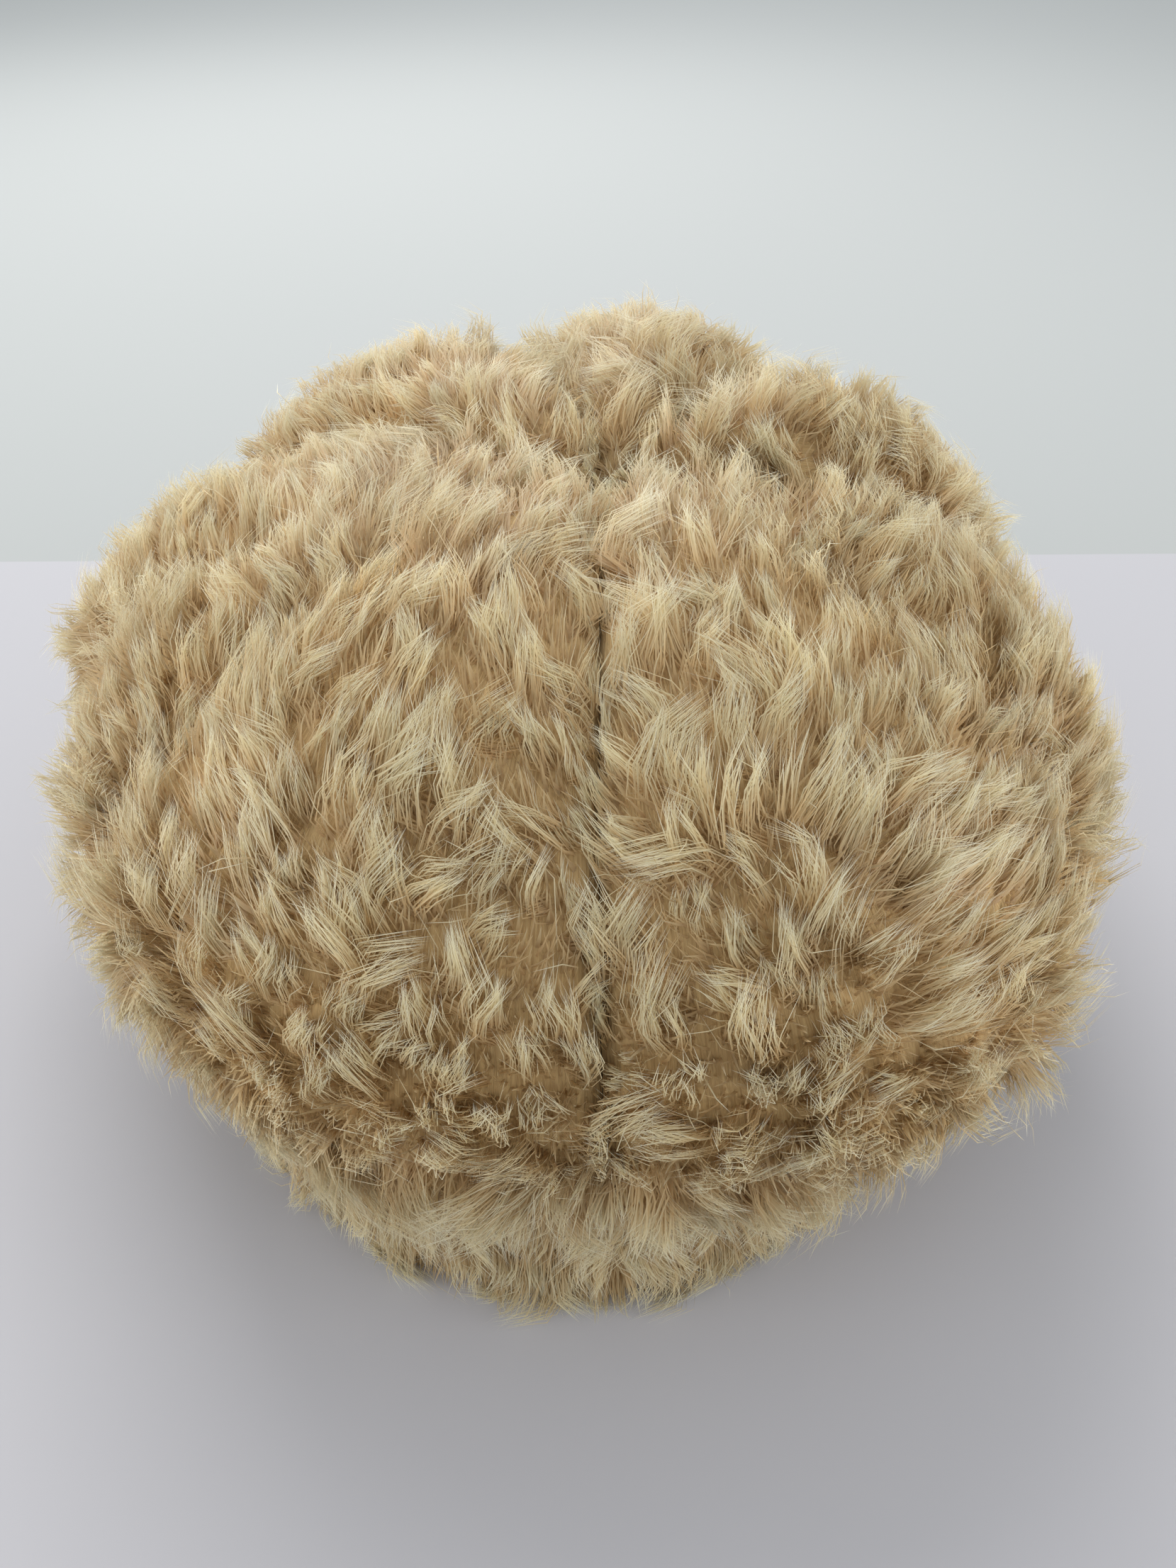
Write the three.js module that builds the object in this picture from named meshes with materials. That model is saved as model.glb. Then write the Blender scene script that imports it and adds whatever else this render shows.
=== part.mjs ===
// A fluffy faux-fur hat. Eight puffed wedge panels are gathered at a sunken
// crown centre and end on an oval hem band of the same fur.
// Units are millimetres. Z is up, Y points to the front of the hat and X to
// the wearer's right. The hem stands on z = 0, and the centre-back seam is at -Y.
import * as THREE from 'three';

// Hem band, measured on its cloth
const HEM_HALF_WIDTH = 84;
const HEM_HALF_LENGTH = 101;
const HEM_HEIGHT = 33;
const CLOTH = 3;
const GAP = 0.3;
const HEM_RIM_TURN = 5;

// Crown, measured on its cloth, before each panel's own puff
const CROWN_HALF_WIDTH = 101;
const CROWN_BACK = 103;
const CROWN_FRONT = 118;
const CROWN_CENTRE_HEIGHT = 115;
const WIDEST_HEIGHT = 55;
const WIDEST_RISE_TO_LEFT = 3;
const SHOULDER = 0.97;
const DOME = 1.1;
const CENTRE_DIMPLE = 4;
const CENTRE_DIMPLE_REACH = 14;
const UNDERSIDE_FULLNESS = 0.8;
const PUFF_FULLNESS = 0.6;
const LIFT_SPREAD = 0.8;
const CENTRE_SHIFT_X = 6;
const CENTRE_SHIFT_Y = 4;
const CENTRE_SHIFT_FADE = 100;
const TIP_RADIUS = 1.4;

// Fur locks fused to the cloth
const LOCK_PITCH = 8.8;
const LOCK_HEIGHT = 12.5;
const LOCK_JITTER = 0.22;
const LOCK_HEIGHT_SPREAD = 0.25;
const LOCK_LEAN = 6;
const LOCK_SWIRL = 2.4;
const STRAIGHT_ROWS = 2;
const SEAM_LOCK_HEIGHT = 0.55;
const CROWN_EDGE_LOCK_HEIGHT = 0.6;
const HEM_LOCK_HEIGHT = 7;
const HEM_TOP_LOCK_HEIGHT = 0.6;
const LOWEST_TIP = 0.6;
const HEM_COLUMNS = 66;
const HEM_ROWS = 4;
const WAVES_ACROSS = 9;
const WAVES_DOWN = 7;
const WAVES_ROUND_HEM = 0.9;

const FULL_TURN = Math.PI * 2;
const QUARTER = Math.PI / 2;
const HALF = 0.5;
const TYPICAL_AZIMUTH = 0.4;

// One row for each panel, going round from the centre-back seam to the
// wearer's right. Puff is how far the panel swells outwards, and lift is how
// far it rises above its seams.
const PANELS = [
  { name: 'crown_panel_back_right', puff: 11, lift: 12 },
  { name: 'crown_panel_right_back', puff: 8.5, lift: 5 },
  { name: 'crown_panel_right_front', puff: 7, lift: 15 },
  { name: 'crown_panel_front_right', puff: 9.5, lift: 18 },
  { name: 'crown_panel_front_left', puff: 10, lift: 13 },
  { name: 'crown_panel_left_front', puff: 14, lift: 2 },
  { name: 'crown_panel_left_back', puff: 1, lift: 6 },
  { name: 'crown_panel_back_left', puff: 5, lift: 13 },
];

// One row for each seam, in degrees round from the centre back: where it
// leaves the crown centre and where it meets the hem band. Depth is how far it
// is drawn in below its two panels, from 0 for level with them to 1.
const SEAMS = [
  { top: 1, bottom: 2, depth: 0.45 },
  { top: 40, bottom: 65, depth: 0.7 },
  { top: 94, bottom: 99, depth: 1 },
  { top: 133, bottom: 150, depth: 0.85 },
  { top: 185, bottom: 198, depth: 1 },
  { top: 231, bottom: 239, depth: 0.85 },
  { top: 288, bottom: 268, depth: 1 },
  { top: 312, bottom: 306, depth: 0.7 },
];

// How many locks lie side by side in a panel, by the cloth's radius there
const LOCK_COLUMNS = [
  { upToRadius: 16, columns: 2 },
  { upToRadius: 36, columns: 4 },
  { upToRadius: 62, columns: 6 },
  { upToRadius: 400, columns: 10 },
];

const FUR = new THREE.MeshStandardMaterial({ color: '#9c896b', roughness: 0.95, metalness: 0 });
FUR.name = 'faux_fur';

// A repeatable number from 0 to 1 for each lock
function scatter(a, b, c) {
  const value = Math.sin(a * 127.1 + b * 311.7 + c * 74.7) * 43758.5453;
  return value - Math.floor(value);
}

function mix(from, to, share) {
  return from + (to - from) * share;
}

function radians(degrees) {
  return (degrees * Math.PI) / 180;
}

function ovalRadius(azimuth, halfWidth, halfLength) {
  return 1 / Math.hypot(Math.sin(azimuth) / halfWidth, Math.cos(azimuth) / halfLength);
}

function crownRadius(azimuth) {
  const reach = Math.cos(azimuth) > 0 ? CROWN_BACK : CROWN_FRONT;
  return ovalRadius(azimuth, CROWN_HALF_WIDTH, reach);
}

function hemRadius(azimuth) {
  return ovalRadius(azimuth, HEM_HALF_WIDTH, HEM_HALF_LENGTH);
}

function atAzimuth(azimuth, radius, height) {
  return new THREE.Vector3(radius * Math.sin(azimuth), -radius * Math.cos(azimuth), height);
}

// The cloth's outer face. Going is 0 at the crown centre, 1 at the widest
// line and 2 where the panel meets the hem band.
function clothPoint(azimuth, going, puff, lift) {
  const widest = WIDEST_HEIGHT - WIDEST_RISE_TO_LEFT * Math.sin(azimuth);
  const reach = crownRadius(azimuth) + puff;
  let radius;
  let height;
  if (going <= 1) {
    const angle = going * QUARTER;
    radius = reach * Math.sin(angle) ** SHOULDER;
    height = widest + (CROWN_CENTRE_HEIGHT - widest) * Math.max(Math.cos(angle), 0) ** DOME;
    height += lift * Math.max(Math.sin(2 * angle), 0) ** LIFT_SPREAD;
  } else {
    const angle = (going - 1) * QUARTER;
    const neck = hemRadius(azimuth) + HEM_RIM_TURN;
    const neckHeight = HEM_HEIGHT + GAP + HEM_RIM_TURN;
    radius = neck + (reach - neck) * Math.max(Math.cos(angle), 0) ** UNDERSIDE_FULLNESS;
    height = widest - (widest - neckHeight) * Math.sin(angle);
  }
  height -= CENTRE_DIMPLE * Math.exp(-((radius / CENTRE_DIMPLE_REACH) ** 2));
  const point = atAzimuth(azimuth, radius, height);
  const shift = Math.max(1 - radius / CENTRE_SHIFT_FADE, 0);
  point.x += CENTRE_SHIFT_X * shift;
  point.y += CENTRE_SHIFT_Y * shift;
  return point;
}

function plainRadius(azimuth, going) {
  const angle = Math.min(going, 1) * QUARTER;
  return crownRadius(azimuth) * Math.sin(angle) ** SHOULDER;
}

function puffShare(across) {
  return Math.sin(Math.PI * Math.min(Math.max(across, 0), 1)) ** PUFF_FULLNESS;
}

// The direction out of the cloth, taken without the puffs so that two
// neighbouring panels share it along their seam
function outwards(azimuth, going) {
  const step = 0.004;
  const low = Math.max(going - step, step);
  const high = low + 2 * step;
  const round = clothPoint(azimuth + step, low, 0, 0).sub(clothPoint(azimuth - step, low, 0, 0));
  const down = clothPoint(azimuth, high, 0, 0).sub(clothPoint(azimuth, low, 0, 0));
  return down.cross(round).normalize();
}

// How far a panel swells or rises at this place: its own full value in the
// middle, and at each seam what is left of the mean of the two panels there
function puffed(index, across, what) {
  const count = PANELS.length;
  const own = PANELS[index][what];
  const before = PANELS[(index + count - 1) % count][what];
  const after = PANELS[(index + 1) % count][what];
  const atStart = (1 - SEAMS[index].depth) * (before + own) * HALF;
  const atEnd = (1 - SEAMS[(index + 1) % count].depth) * (own + after) * HALF;
  return mix(mix(atStart, atEnd, across), own, puffShare(across));
}

function seamAzimuth(index, going) {
  const seam = SEAMS[index % SEAMS.length];
  const lap = index >= SEAMS.length ? FULL_TURN : 0;
  return lap + radians(mix(seam.top, seam.bottom, Math.min(going, 1)));
}

// Rows of locks, about one lock apart along the middle of a plain panel
function lockRows() {
  const azimuth = TYPICAL_AZIMUTH;
  const fine = 800;
  const marks = [];
  let travelled = 0;
  let last = clothPoint(azimuth, 0, 0, 0);
  for (let i = 1; i <= fine; i += 1) {
    const going = (2 * i) / fine;
    const next = clothPoint(azimuth, going, 0, 0);
    travelled += next.distanceTo(last);
    marks.push({ going, travelled });
    last = next;
  }
  const start = marks.find((mark) => plainRadius(azimuth, mark.going) > TIP_RADIUS);
  const span = travelled - start.travelled;
  const count = Math.round(span / LOCK_PITCH);
  const rows = [];
  for (let i = 0; i <= count; i += 1) {
    const wanted = start.travelled + (span * i) / count;
    const mark = marks.find((item) => item.travelled >= wanted - 1e-6);
    rows.push(mark.going);
  }
  return rows;
}

function columnsAt(going) {
  const radius = plainRadius(TYPICAL_AZIMUTH, going);
  return LOCK_COLUMNS.find((row) => radius <= row.upToRadius).columns;
}

// A list of triangles that share their corners
class Shell {
  constructor() {
    this.points = [];
    this.faces = [];
  }

  add(point) {
    this.points.push(point);
    return this.points.length - 1;
  }

  face(a, b, c) {
    this.faces.push([a, b, c]);
  }

  quad(a, b, c, d) {
    this.face(a, b, c);
    this.face(a, c, d);
  }

  mesh(name, material) {
    const positions = new Float32Array(this.points.flatMap((p) => [p.x, p.y, p.z]));
    const geometry = new THREE.BufferGeometry();
    geometry.setAttribute('position', new THREE.BufferAttribute(positions, 3));
    geometry.setIndex(this.faces.flat());
    geometry.computeVertexNormals();
    const mesh = new THREE.Mesh(geometry, material);
    mesh.name = name;
    return mesh;
  }
}

// One lock: faces that rise from the corners of its cell to its tip. The
// corners run clockwise as seen from outside.
function addLock(shell, corners, tip) {
  const top = shell.add(tip);
  for (let i = 0; i < corners.length; i += 1) {
    shell.face(corners[(i + 1) % corners.length], corners[i], top);
  }
}

function middleOf(points) {
  const sum = points.reduce((total, point) => total.add(point), new THREE.Vector3());
  return sum.divideScalar(points.length);
}

// A lock leans down the cloth by lean, which is below 0 where it leans up, and sideways
function lockTip(cell, down, out, height, lean, sideways) {
  const round = out.clone().cross(down).normalize();
  return middleOf(cell).addScaledVector(out, height).addScaledVector(down, lean).addScaledVector(round, sideways);
}

// Joins two rows of points with triangles, clockwise as seen from outside.
// Across says how far each point lies along its row, from 0 to 1.
function stripBetween(upper, lower) {
  const triangles = [];
  let i = 0;
  let j = 0;
  while (i < upper.length - 1 || j < lower.length - 1) {
    const upperNext = i < upper.length - 1 ? upper[i + 1].across : Infinity;
    const lowerNext = j < lower.length - 1 ? lower[j + 1].across : Infinity;
    if (upperNext < lowerNext || (upperNext === lowerNext && i <= j)) {
      triangles.push({ top: [upper[i], upper[i + 1]], bottom: [lower[j]] });
      i += 1;
    } else {
      triangles.push({ top: [upper[i]], bottom: [lower[j + 1], lower[j]] });
      j += 1;
    }
  }
  return triangles;
}

// How far each point lies across a panel, from one seam to the other. Every
// second row is set off by half a lock, so that the locks lie like scales.
function acrossPlaces(row, columns) {
  const places = [0];
  for (let column = 1; column < columns; column += 1) {
    places.push(column / columns);
  }
  if (row % 2 === 1) {
    const halfway = places.map((place) => place + HALF / columns);
    return [0, ...halfway, 1];
  }
  return [...places, 1];
}

function crownRow(shell, index, goings, row) {
  const going = goings[row];
  const last = row === goings.length - 1;
  const columns = columnsAt(going);
  const from = seamAzimuth(index, going);
  const to = seamAzimuth(index + 1, going);
  const radius = Math.max(plainRadius((from + to) / 2, going), TIP_RADIUS);
  const halfGap = GAP / 2 / radius;
  return acrossPlaces(row, columns).map((place, column) => {
    const free = place > 0 && place < 1 && row > 0 && !last;
    const wander = free ? LOCK_JITTER * (2 * scatter(row, column, index) - 1) : 0;
    const across = place + wander / columns;
    const azimuth = mix(from + halfGap, to - halfGap, across);
    const puff = puffed(index, across, 'puff');
    const lift = puffed(index, across, 'lift');
    let skin = clothPoint(azimuth, going, puff, lift);
    let lining = skin.clone().addScaledVector(outwards(azimuth, going), -CLOTH);
    if (last) {
      skin = atAzimuth(azimuth, hemRadius(azimuth), HEM_HEIGHT + GAP);
      lining = atAzimuth(azimuth, hemRadius(azimuth) - CLOTH, HEM_HEIGHT + GAP);
    }
    return { across, azimuth, outer: shell.add(skin), inner: shell.add(lining) };
  });
}

// The pile lies up to the crown centre above the widest line, and down to the
// hem below it. The last rows stand straight, clear of the hem band's locks.
function crownLock(shell, index, going, row, rowCount, place, corners) {
  const { across, azimuth, size } = place;
  const nearSeam = mix(SEAM_LOCK_HEIGHT, 1, puffShare(across));
  const fullness = Math.min(size / LOCK_PITCH, 1) * nearSeam;
  const spread = 1 + LOCK_HEIGHT_SPREAD * (2 * scatter(index, row, across) - 1);
  const wave = Math.sin(WAVES_ACROSS * across + WAVES_DOWN * going + index);
  const edge = row === rowCount - 1 ? CROWN_EDGE_LOCK_HEIGHT : 1;
  const height = LOCK_HEIGHT * fullness * spread * edge;
  const lean = row >= rowCount - STRAIGHT_ROWS ? 0 : -LOCK_LEAN * fullness * Math.sin(Math.PI * going);
  const sideways = LOCK_SWIRL * fullness * wave * Math.sin(Math.PI * across);
  const points = corners.map((corner) => shell.points[corner]);
  const out = outwards(azimuth, going);
  const step = 0.01;
  const low = Math.min(going, 2 - step);
  const down = clothPoint(azimuth, low + step, 0, 0).sub(clothPoint(azimuth, low, 0, 0)).normalize();
  addLock(shell, corners, lockTip(points, down, out, height, lean, sideways));
}

function crownPanel(index, goings) {
  const shell = new Shell();
  const rows = goings.map((going, row) => crownRow(shell, index, goings, row));
  const strips = [];
  for (let row = 0; row < rows.length - 1; row += 1) {
    strips.push(stripBetween(rows[row], rows[row + 1]));
  }

  // Each stretch of a row carries one lock, which reaches to the row above
  // and to the row below
  rows.forEach((points, row) => {
    const above = row > 0 ? strips[row - 1].filter((item) => item.bottom.length === 2) : null;
    const below = row < strips.length ? strips[row].filter((item) => item.top.length === 2) : null;
    for (let i = 0; i < points.length - 1; i += 1) {
      const corners = [points[i + 1].outer];
      if (below) {
        corners.push(below[i].bottom[0].outer);
      }
      corners.push(points[i].outer);
      if (above) {
        corners.push(above[i].top[0].outer);
      }
      const place = {
        across: (points[i].across + points[i + 1].across) / 2,
        azimuth: (points[i].azimuth + points[i + 1].azimuth) / 2,
        size: shell.points[points[i].outer].distanceTo(shell.points[points[i + 1].outer]),
      };
      crownLock(shell, index, goings[row], row, rows.length, place, corners);
    }
  });

  strips.flat().forEach((item) => {
    shell.face(...[...item.top, ...item.bottom].map((point) => point.inner));
  });

  // The cut edges of the cloth, along both seams, at the tip and at the hem
  for (let row = 0; row < rows.length - 1; row += 1) {
    const start = rows[row][0];
    const startBelow = rows[row + 1][0];
    const end = rows[row][rows[row].length - 1];
    const endBelow = rows[row + 1][rows[row + 1].length - 1];
    shell.quad(start.inner, startBelow.inner, startBelow.outer, start.outer);
    shell.quad(endBelow.inner, end.inner, end.outer, endBelow.outer);
  }
  const top = rows[0];
  for (let i = 0; i < top.length - 1; i += 1) {
    shell.quad(top[i + 1].inner, top[i].inner, top[i].outer, top[i + 1].outer);
  }
  const bottom = rows[rows.length - 1];
  for (let i = 0; i < bottom.length - 1; i += 1) {
    shell.quad(bottom[i].inner, bottom[i + 1].inner, bottom[i + 1].outer, bottom[i].outer);
  }
  return shell.mesh(PANELS[index].name, FUR);
}

// An oval ring of cloth with rows of locks on its outside that point down
function hemBand() {
  const shell = new Shell();
  const rows = [];
  for (let row = 0; row <= HEM_ROWS; row += 1) {
    const height = HEM_HEIGHT * (1 - row / HEM_ROWS);
    const points = [];
    for (let column = 0; column < HEM_COLUMNS; column += 1) {
      const azimuth = (FULL_TURN * (column + HALF * (row % 2))) / HEM_COLUMNS;
      points.push(shell.add(atAzimuth(azimuth, hemRadius(azimuth), height)));
    }
    rows.push(points);
  }
  const liningAt = (height) => rows[0].map((unused, column) => {
    const azimuth = (FULL_TURN * column) / HEM_COLUMNS;
    return shell.add(atAzimuth(azimuth, hemRadius(azimuth) - CLOTH, height));
  });
  const liningTop = liningAt(HEM_HEIGHT);
  const liningBottom = liningAt(0);

  rows.forEach((points, row) => {
    for (let column = 0; column < HEM_COLUMNS; column += 1) {
      const next = (column + 1) % HEM_COLUMNS;
      const beside = row % 2 === 1 ? next : column;
      const corners = [points[next]];
      if (row < HEM_ROWS) {
        corners.push(rows[row + 1][beside]);
      }
      corners.push(points[column]);
      if (row > 0) {
        corners.push(rows[row - 1][beside]);
      }
      const spread = 1 + LOCK_HEIGHT_SPREAD * (2 * scatter(row, column, 3) - 1);
      const sideways = LOCK_SWIRL * Math.sin(WAVES_ROUND_HEM * column + row);
      const atTop = row === 0 ? HEM_TOP_LOCK_HEIGHT : 1;
      const cell = corners.map((corner) => shell.points[corner]);
      const out = middleOf(cell).setZ(0).normalize();
      const down = new THREE.Vector3(0, 0, -1);
      const tip = lockTip(cell, down, out, HEM_LOCK_HEIGHT * spread * atTop, LOCK_LEAN, sideways);
      tip.z = Math.max(tip.z, LOWEST_TIP);
      addLock(shell, corners, tip);
    }
  });

  for (let column = 0; column < HEM_COLUMNS; column += 1) {
    const next = (column + 1) % HEM_COLUMNS;
    const bottom = rows[HEM_ROWS];
    shell.quad(liningTop[column], liningTop[next], liningBottom[next], liningBottom[column]);
    shell.quad(liningTop[next], liningTop[column], rows[0][column], rows[0][next]);
    shell.quad(liningBottom[column], liningBottom[next], bottom[next], bottom[column]);
  }
  return shell.mesh('hem_band', FUR);
}

const hat = new THREE.Group();
const goings = lockRows();
PANELS.forEach((panel, index) => hat.add(crownPanel(index, goings)));
hat.add(hemBand());

// The middle of the hat's outline, seen from above, stands on the Z axis
const extent = new THREE.Box3().setFromObject(hat);
const middle = extent.getCenter(new THREE.Vector3());
hat.position.set(-middle.x, -middle.y, 0);

export default hat;
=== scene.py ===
"""A fluffy faux-fur hat: eight puffed crown panels over an oval hem band, all in
deep cream pile on a knitted backing. It stands on a plain pale floor."""

import math
from collections import namedtuple

import bpy
import numpy as np
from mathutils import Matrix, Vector


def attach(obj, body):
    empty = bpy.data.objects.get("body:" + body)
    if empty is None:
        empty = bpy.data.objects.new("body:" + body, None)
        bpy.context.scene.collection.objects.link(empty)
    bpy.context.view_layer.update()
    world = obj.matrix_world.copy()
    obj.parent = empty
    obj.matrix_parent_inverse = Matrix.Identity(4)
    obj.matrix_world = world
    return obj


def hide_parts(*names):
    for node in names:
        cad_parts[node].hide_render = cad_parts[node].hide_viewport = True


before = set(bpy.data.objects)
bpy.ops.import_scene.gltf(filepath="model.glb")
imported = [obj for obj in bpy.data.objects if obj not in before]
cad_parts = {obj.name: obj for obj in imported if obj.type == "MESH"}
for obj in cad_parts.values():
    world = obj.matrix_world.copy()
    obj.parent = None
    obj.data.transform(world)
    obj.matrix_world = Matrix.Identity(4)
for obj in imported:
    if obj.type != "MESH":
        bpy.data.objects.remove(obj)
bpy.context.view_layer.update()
bpy.ops.object.select_all(action="DESELECT")

MM = 0.001
TINY = 1e-9
FULL_TURN = 2 * np.pi

# The cloth of the hem band, in millimetres
HEM_HALF_WIDTH = 84.0
HEM_HALF_LENGTH = 101.0
HEM_HEIGHT = 33.0
CLOTH = 3.0
GAP = 0.3
HEM_RIM_TURN = 5.0

# The cloth of the crown, before each panel's own puff
CROWN_HALF_WIDTH = 101.0
CROWN_BACK = 103.0
CROWN_FRONT = 118.0
CROWN_CENTRE_HEIGHT = 115.0
WIDEST_HEIGHT = 55.0
WIDEST_RISE_TO_LEFT = 3.0
SHOULDER = 0.97
DOME = 1.1
CENTRE_DIMPLE = 4.0
CENTRE_DIMPLE_REACH = 14.0
UNDERSIDE_FULLNESS = 0.8
PUFF_FULLNESS = 0.6
LIFT_SPREAD = 0.8
CENTRE_SHIFT = (6.0, 4.0)
CENTRE_SHIFT_FADE = 100.0

# Puff is how far a panel swells outwards, and lift is how far it rises
Panel = namedtuple("Panel", "name puff lift")
PANELS = [
    Panel("back_right", 11.0, 12.0),
    Panel("right_back", 8.5, 5.0),
    Panel("right_front", 7.0, 15.0),
    Panel("front_right", 9.5, 18.0),
    Panel("front_left", 10.0, 13.0),
    Panel("left_front", 14.0, 2.0),
    Panel("left_back", 1.0, 6.0),
    Panel("back_left", 5.0, 13.0),
]

# Each seam's azimuth in degrees at the crown centre and at the hem band, and how
# far it is drawn in below its two panels. A panel starts at the seam in its row.
Seam = namedtuple("Seam", "at_centre at_hem depth")
SEAMS = [
    Seam(1, 2, 0.45),
    Seam(40, 65, 0.7),
    Seam(94, 99, 1.0),
    Seam(133, 150, 0.85),
    Seam(185, 198, 1.0),
    Seam(231, 239, 0.85),
    Seam(288, 268, 1.0),
    Seam(312, 306, 0.7),
]

# How far the hem band's own centre lies from the hat's origin
HAT_SHIFT = (1.311, -11.138)

# How far along the crown each change comes: 0 is its centre, 1 its widest line
# and 2 the hem band
CROWN_END = 2.0
NAP_ENDS = 1.5
PARTING_ENDS = 1.7
DROOP_STARTS = 0.9
DROOP_GROWS_OVER = 0.6
TALLER_SEAM_STARTS = 0.8
TALLER_SEAM_GROWS_OVER = 0.5
TALLER_SEAM_HEIGHT = 0.7
LOOSE_BELOW_WIDEST = 20

# The steps that the cloth is measured in
FRAME_STEP = 0.004
DOWN_STEPS = 400
ACROSS_STEPS = 80
FUZZ_DOWN_STEPS = 60
FUZZ_ACROSS_STEPS = 40

# The waves that turn the nap, in millimetres, and how they are made
SWIRL_WAVES = (55, 50)
STIR_WAVES = (21, 19)
LENGTH_WAVES = 24
WAVES = 7
WAVE_LENGTHS = (0.7, 1.6)
WAVE_PHASES = 6.28
SMALLEST_LEAN = 0.05

# How far each root strays from its even place, as a share of the room there
ROOT_JITTER = 0.4

# How much locks, tufts and hairs differ from each other
LOCK_LEAN_DOWN = 0.12
LOCK_LEAN_ACROSS = 0.2
TUFT_LEAN_DOWN = 0.1
TUFT_LEAN_ACROSS = 0.13
HAIR_LEAN = 0.06
STRAY_LEAN = 0.5
LENGTH_WAVE = 0.15
LOCK_LENGTH = 0.12
TUFT_LENGTHS = (0.85, 1.1)
HAIR_LENGTHS = (0.72, 1.06)
UNDER_LENGTHS = (0.6, 1.2)
GATHER_SHARES = (0.7, 1)
HAIR_CURL = 0.04
HAIR_ROLL = 0.35
HAIR_WIDTHS = (0.75, 1.25)
HAIR_TAPER = (1.0, 0.97, 0.68, 0.0)
EDGE_MARGIN = 0.5

# How a hair bends from its root to its tip
ROOT_DEPTH = 0.5
RISE_BEND = 1.7
LEAN_BEND = 1.6
CURL_TURN = 1.1
NUDGE = 0.001
SIDE_NUDGE = 0.01

# The short pile between the locks
FUZZ_LEAN = 0.35
FUZZ_LENGTHS = (0.6, 1.15)
FUZZ_BEND = 0.25
FUZZ_ROLL = 0.7
FUZZ_WIDTHS = (0.6, 1.3)
FUZZ_TAPER = (1.0, 0.8, 0.0)
FUZZ_TONE = (0.3, 0.16)
FUZZ_TIPS = (0.35, 0.6)

# The pile's tone map has a column for each tone, and goes from root to tip
TONES = 64
COLUMN_START = 0.15
COLUMN_END = 0.85
MIDDLE_TONE = 0.5
LOCK_TONE = 0.15
TUFT_TONE = 0.1
HAIR_TONE = 0.08
ROOT_SHADES = (0.0, 0.1)
TIP_SHADE = (0.88, 0.08)
TIP_SHADE_LIMITS = (0.6, 1.0)
UNDER_TIP_SHARE = 0.5

# How the crown's pile grows, in millimetres, and how it lies
CROWN_STYLE = {
    "closed": False,
    "waves_seed": 5,
    "low": 0.005,
    "high": 1.97,
    # Where the locks stand, and how many tufts and hairs each has
    "spacing": 7.4,
    "choice": 2.2,
    "apart": 6.0,
    "seen_at": 0.5,
    "lock_spread": 4.4,
    "tuft_spread": 1.2,
    "tufts": 9,
    "hairs": 10,
    # The size of the hairs
    "length": 13.2,
    "width": 0.23,
    "under": 0.12,
    "under_length": 8.0,
    "fuzz_length": 7.5,
    "fuzz_width": 0.55,
    "fuzz_density": 0.55,
    # How the nap lies and swirls
    "softness": 1.5,
    "nap_ahead": 0.8,
    "nap_rise": 0.55,
    "nap_turn": 50.0,
    "nap_down": 0.7,
    "swirl": 0.5,
    "swirl_down": 0.8,
    "stir": 0.24,
    "least_lean": 0.45,
    "stand": 0.92,
    "curl": 0.22,
    "stray": 0.05,
    "lock_gather": 0.5,
    "tuft_gather": 0.92,
    # How the pile parts at the seams
    "seam_reach": 5.0,
    "seam_height": 0.32,
    "seam_rise": 1.3,
    "seam_hold": 0.83,
    "parting": 0.15,
    # How far each hair is shaded by its own face, and how close the lowest come
    # to the floor
    "own_normal": 0.3,
    "above_floor": (0.4, 2.5),
}

# The hem band's pile is combed down, and goes all the way round
HEM_STYLE = {
    **CROWN_STYLE,
    "closed": True,
    "waves_seed": 900,
    "low": 0.02,
    "high": 0.97,
    "length": 12.8,
    "nap_down": 1.1,
    "swirl": 0.25,
}

# What the random numbers of each piece start from
PANEL_SEED = 100
HEM_SEED = 900

# How a cloth piece is cut: where it starts and ends, and its columns and rows
Cut = namedtuple("Cut", "low high columns rows")
PANEL_CUT = Cut(0.0, CROWN_END, 24, 48)
HEM_CUT = Cut(0.0, 1.0, 120, 8)
CLOTH_INSET = 0.0006
MERGE_WITHIN = 0.00001
INSIDE_POINT = Vector((0.0, 0.0, 0.03))

# The pile's colour from root to tip, and how much light goes through a hair
PILE_SHADES = [
    (0.0, (0.62, 0.41, 0.195)),
    (0.35, (0.69, 0.52, 0.28)),
    (0.65, (0.80, 0.72, 0.485)),
    (0.95, (0.96, 0.98, 0.855)),
]
DARKEST_TONE = 0.84
LIGHTEST_TONE = 1.12
PASSES_THROUGH = 0.58

# The pile roots' two colours, darkened partly as painted shade of the valleys
# between the locks, and the painted shadow along a seam: how dark the cloth is
# there, over what share of the panel's width
ROOT_DARK_WITH_PAINTED_SHADE = (0.34, 0.22, 0.10)
ROOT_LIGHT_WITH_PAINTED_SHADE = (0.56, 0.40, 0.20)
ROOT_STREAKS = (1.0, 0.16, 1.0)
SEAM_PAINTED_SHADOW = 0.65
SEAM_PAINTED_SHADOW_WIDTH = 0.035

# The knitted backing's two shades
BACKING_DARK = (0.50, 0.41, 0.29)
BACKING_LIGHT = (0.64, 0.55, 0.41)

# How strong a material's grain is as bump, and how deep, in metres
Bump = namedtuple("Bump", "strength distance")
ROOT_BUMP = Bump(0.6, 0.0006)
BACKING_BUMP = Bump(0.5, 0.0004)

# The places of the two colours and of the result among the Mix node's sockets
MIX_FIRST = 6
MIX_SECOND = 7
MIX_RESULT = 2


def oval_radius(azimuth, half_width, half_length):
    return 1 / np.hypot(np.sin(azimuth) / half_width, np.cos(azimuth) / half_length)


def crown_radius(azimuth):
    reach = np.where(np.cos(azimuth) > 0, CROWN_BACK, CROWN_FRONT)
    return oval_radius(azimuth, CROWN_HALF_WIDTH, reach)


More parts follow.
